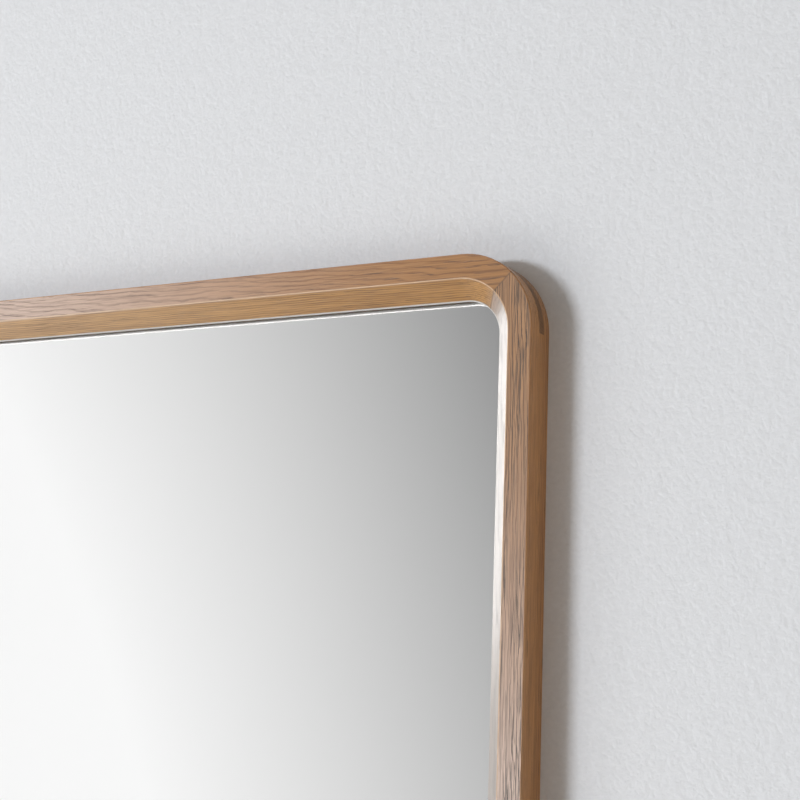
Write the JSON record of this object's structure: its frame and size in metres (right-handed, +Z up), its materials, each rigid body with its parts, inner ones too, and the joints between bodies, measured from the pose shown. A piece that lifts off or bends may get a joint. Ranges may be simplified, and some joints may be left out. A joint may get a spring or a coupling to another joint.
{
  "type": "wall mirror",
  "caption": "Wall mirror in a splayed oak frame with rounded mitred corners, dark corner splines and keyhole hangers let into the back.",
  "frame": {"origin": "midway between the entry holes of the two hanger plates, in the plane of the back of the frame", "axes": "+X to the viewer's right, +Z up, +Y into the wall"},
  "size_m": [0.7, 0.037, 1],
  "materials": {
    "oak": "satin oiled oak",
    "spline_wood": "satin dark wood",
    "mirror_glass": "silvered float glass with ground arrises",
    "backing_film": "matt film",
    "foam_tape": "foam",
    "shim_plastic": "matt",
    "fibreboard": "plain hardboard",
    "zinc_steel": "zinc plated",
    "felt": "felt"
  },
  "bodies": {
    "root": {"top_rail": "oak", "bottom_rail": "oak", "left_stile": "oak", "right_stile": "oak", "spline_top_left": "spline_wood", "spline_top_right": "spline_wood", "spline_bottom_left": "spline_wood", "spline_bottom_right": "spline_wood", "mirror_glass": "mirror_glass", "safety_film": "backing_film", "mirror_tape": "foam_tape", "glass_shims": "shim_plastic", "backing_panel": "fibreboard", "panel_points": "zinc_steel", "left_hanger_plate": "zinc_steel", "right_hanger_plate": "zinc_steel", "hanger_screws": "zinc_steel", "felt_pad_top_left": "felt", "felt_pad_top_right": "felt", "felt_pad_bottom_left": "felt", "felt_pad_bottom_right": "felt"}
  },
  "joints": []
}
